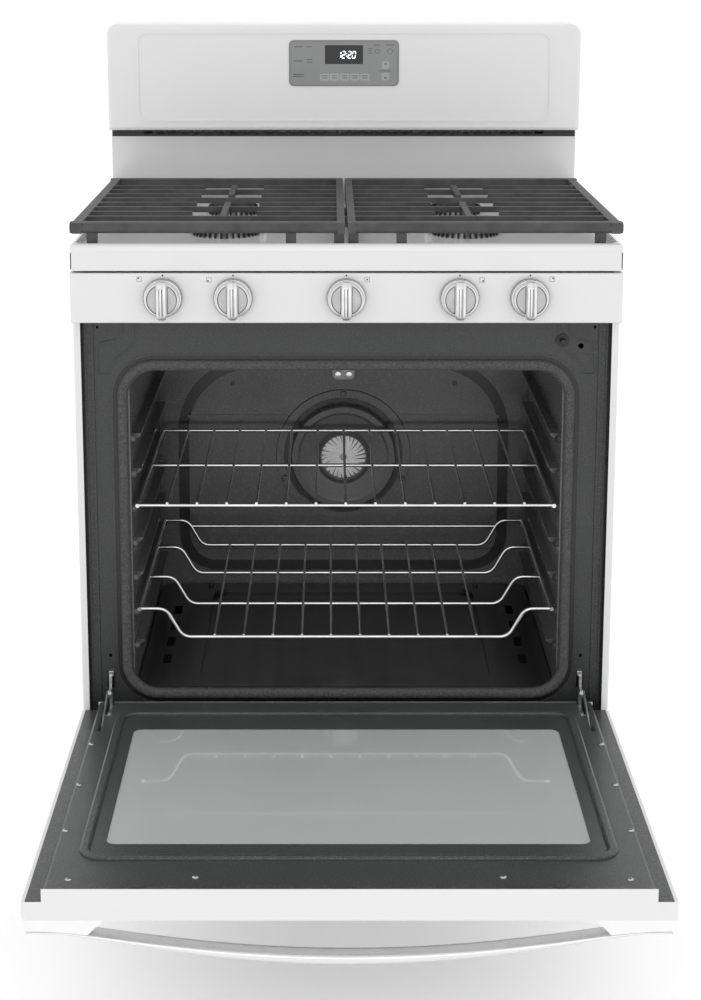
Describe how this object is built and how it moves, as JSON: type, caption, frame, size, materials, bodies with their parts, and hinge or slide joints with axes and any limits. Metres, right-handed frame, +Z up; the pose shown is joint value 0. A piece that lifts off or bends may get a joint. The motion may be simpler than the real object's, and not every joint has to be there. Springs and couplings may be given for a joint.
{
  "type": "freestanding gas range",
  "caption": "White freestanding gas range with a drop-down oven door, convection oven with wire racks, cast grates, control knobs, rear console and storage drawer.",
  "frame": {"origin": "on the floor under the middle of the footprint, with the oven door open as at rest", "axes": "+X to the right side seen from the front, +Y towards the back, +Z up"},
  "size_m": [0.759, 1.21, 1.191],
  "materials": {
    "white_enamel": "gloss",
    "grey_enamel": "gloss",
    "liner_enamel": "satin",
    "galvanised_steel": "satin",
    "stainless_steel": "satin",
    "iron": "matte",
    "chrome_wire": "polished",
    "aluminium_casting": "satin",
    "brass_fitting": "satin",
    "silver_plastic": "satin",
    "white_plastic": "gloss",
    "grey_overlay": "satin",
    "black_plastic": "matte",
    "glass_fibre": "matte",
    "woven_gasket": "matte",
    "clear_glass": "gloss",
    "dark_glass": "gloss",
    "porcelain": "gloss"
  },
  "bodies": {
    "range_body": {"side_panel_right": "white_enamel", "side_panel_left": "white_enamel", "back_panel": "galvanised_steel", "base_frame": "galvanised_steel", "levelling_feet": "black_plastic", "front_frame": "grey_enamel", "oven_liner": "grey_enamel", "oven_insulation": "glass_fibre", "oven_gasket": "woven_gasket", "oven_bottom_panel": "grey_enamel", "oven_burners": "galvanised_steel", "oven_lamp_holder": "porcelain", "oven_lamp_lens": "clear_glass", "temperature_probe": "stainless_steel", "fan_cover": "grey_enamel", "fan_motor": "galvanised_steel", "cooktop": "white_enamel", "burner_heads": "aluminium_casting", "burner_caps": "iron", "spark_electrodes": "porcelain", "control_panel": "white_enamel", "gas_valves": "brass_fitting", "gas_manifold": "galvanised_steel", "gas_regulator": "aluminium_casting", "console_shell": "white_enamel", "control_overlay": "grey_overlay", "display_window": "dark_glass", "control_board": "black_plastic", "backguard": "white_enamel", "vent_trim": "black_plastic", "hinge_arms": "galvanised_steel", "door_switch": "black_plastic"},
    "door": {"door_shell": "white_enamel", "door_liner": "liner_enamel", "door_inner_glass": "clear_glass", "door_outer_glass": "dark_glass", "door_screws": "stainless_steel", "door_handle": "stainless_steel", "handle_end_caps": "white_plastic", "door_hinge_channels": "galvanised_steel"},
    "hinge_link_right": {"hinge_link_right": "galvanised_steel"},
    "hinge_link_left": {"hinge_link_left": "galvanised_steel"},
    "switch_plunger": {"switch_plunger": "black_plastic"},
    "fan_wheel": {"fan_wheel": "aluminium_casting"},
    "upper_rack": {"upper_rack": "chrome_wire"},
    "lower_rack": {"lower_rack": "chrome_wire"},
    "grate_right": {"grate_right": "iron"},
    "grate_left": {"grate_left": "iron"},
    "drawer": {"drawer_front": "white_enamel", "drawer_box": "galvanised_steel"},
    "valve_stem_1": {"valve_stem_1": "stainless_steel"},
    "knob_1": {"knob_1": "silver_plastic"},
    "valve_stem_2": {"valve_stem_2": "stainless_steel"},
    "knob_2": {"knob_2": "silver_plastic"},
    "valve_stem_3": {"valve_stem_3": "stainless_steel"},
    "knob_3": {"knob_3": "silver_plastic"},
    "valve_stem_4": {"valve_stem_4": "stainless_steel"},
    "knob_4": {"knob_4": "silver_plastic"},
    "valve_stem_5": {"valve_stem_5": "stainless_steel"},
    "knob_5": {"knob_5": "silver_plastic"}
  },
  "joints": [
    {"name": "door_hinge", "type": "hinge", "parent": "range_body", "child": "door", "pos_m": [0, -0.0306, 0.2256], "axis": [-1, 0, 0], "range_deg": [0, 90]},
    {"name": "hinge_link_right_pivot", "type": "hinge", "parent": "range_body", "child": "hinge_link_right", "pos_m": [0.34, -0.019, 0.256], "axis": [-1, 0, 0], "range_deg": [0, 102.2]},
    {"name": "hinge_link_left_pivot", "type": "hinge", "parent": "range_body", "child": "hinge_link_left", "pos_m": [-0.34, -0.019, 0.256], "axis": [-1, 0, 0], "range_deg": [0, 102.2]},
    {"name": "door_switch_press", "type": "slide", "parent": "range_body", "child": "switch_plunger", "axis": [0, 1, 0], "range_m": [0, 0.008]},
    {"name": "fan_spin", "type": "hinge", "parent": "range_body", "child": "fan_wheel", "pos_m": [0, 0.472, 0.482], "axis": [0, 1, 0], "continuous": true},
    {"name": "upper_rack_slide", "type": "slide", "parent": "range_body", "child": "upper_rack", "axis": [0, 1, 0], "range_m": [-0.33, 0]},
    {"name": "lower_rack_slide", "type": "slide", "parent": "range_body", "child": "lower_rack", "axis": [0, 1, 0], "range_m": [-0.33, 0]},
    {"name": "grate_right_lift", "type": "slide", "parent": "range_body", "child": "grate_right", "axis": [0, 0, 1], "range_m": [0, 0.06]},
    {"name": "grate_left_lift", "type": "slide", "parent": "range_body", "child": "grate_left", "axis": [0, 0, 1], "range_m": [0, 0.06]},
    {"name": "drawer_slide", "type": "slide", "parent": "range_body", "child": "drawer", "axis": [0, -1, 0], "range_m": [0, 0.42]},
    {"name": "valve_1_turn", "type": "hinge", "parent": "range_body", "child": "valve_stem_1", "pos_m": [-0.252, -0.02, 0.84], "axis": [0, -1, 0], "range_deg": [0, 270]},
    {"name": "knob_1_push", "type": "slide", "parent": "valve_stem_1", "child": "knob_1", "axis": [0, 1, 0], "range_m": [0, 0.003], "stiffness_N_per_m": 800},
    {"name": "valve_2_turn", "type": "hinge", "parent": "range_body", "child": "valve_stem_2", "pos_m": [-0.1555, -0.02, 0.84], "axis": [0, -1, 0], "range_deg": [0, 270]},
    {"name": "knob_2_push", "type": "slide", "parent": "valve_stem_2", "child": "knob_2", "axis": [0, 1, 0], "range_m": [0, 0.003], "stiffness_N_per_m": 800},
    {"name": "valve_3_turn", "type": "hinge", "parent": "range_body", "child": "valve_stem_3", "pos_m": [0, -0.02, 0.84], "axis": [0, -1, 0], "range_deg": [0, 270]},
    {"name": "knob_3_push", "type": "slide", "parent": "valve_stem_3", "child": "knob_3", "axis": [0, 1, 0], "range_m": [0, 0.003], "stiffness_N_per_m": 800},
    {"name": "valve_4_turn", "type": "hinge", "parent": "range_body", "child": "valve_stem_4", "pos_m": [0.1555, -0.02, 0.84], "axis": [0, -1, 0], "range_deg": [0, 270]},
    {"name": "knob_4_push", "type": "slide", "parent": "valve_stem_4", "child": "knob_4", "axis": [0, 1, 0], "range_m": [0, 0.003], "stiffness_N_per_m": 800},
    {"name": "valve_5_turn", "type": "hinge", "parent": "range_body", "child": "valve_stem_5", "pos_m": [0.252, -0.02, 0.84], "axis": [0, -1, 0], "range_deg": [0, 270]},
    {"name": "knob_5_push", "type": "slide", "parent": "valve_stem_5", "child": "knob_5", "axis": [0, 1, 0], "range_m": [0, 0.003], "stiffness_N_per_m": 800}
  ],
  "couplings": [
    {"joint": "hinge_link_right_pivot", "follows": "door_hinge", "ratio": 1.135},
    {"joint": "hinge_link_left_pivot", "follows": "door_hinge", "ratio": 1.135},
    {"joint": "door_switch_press", "follows": "door_hinge", "m_per_rad": 0.004775}
  ]
}
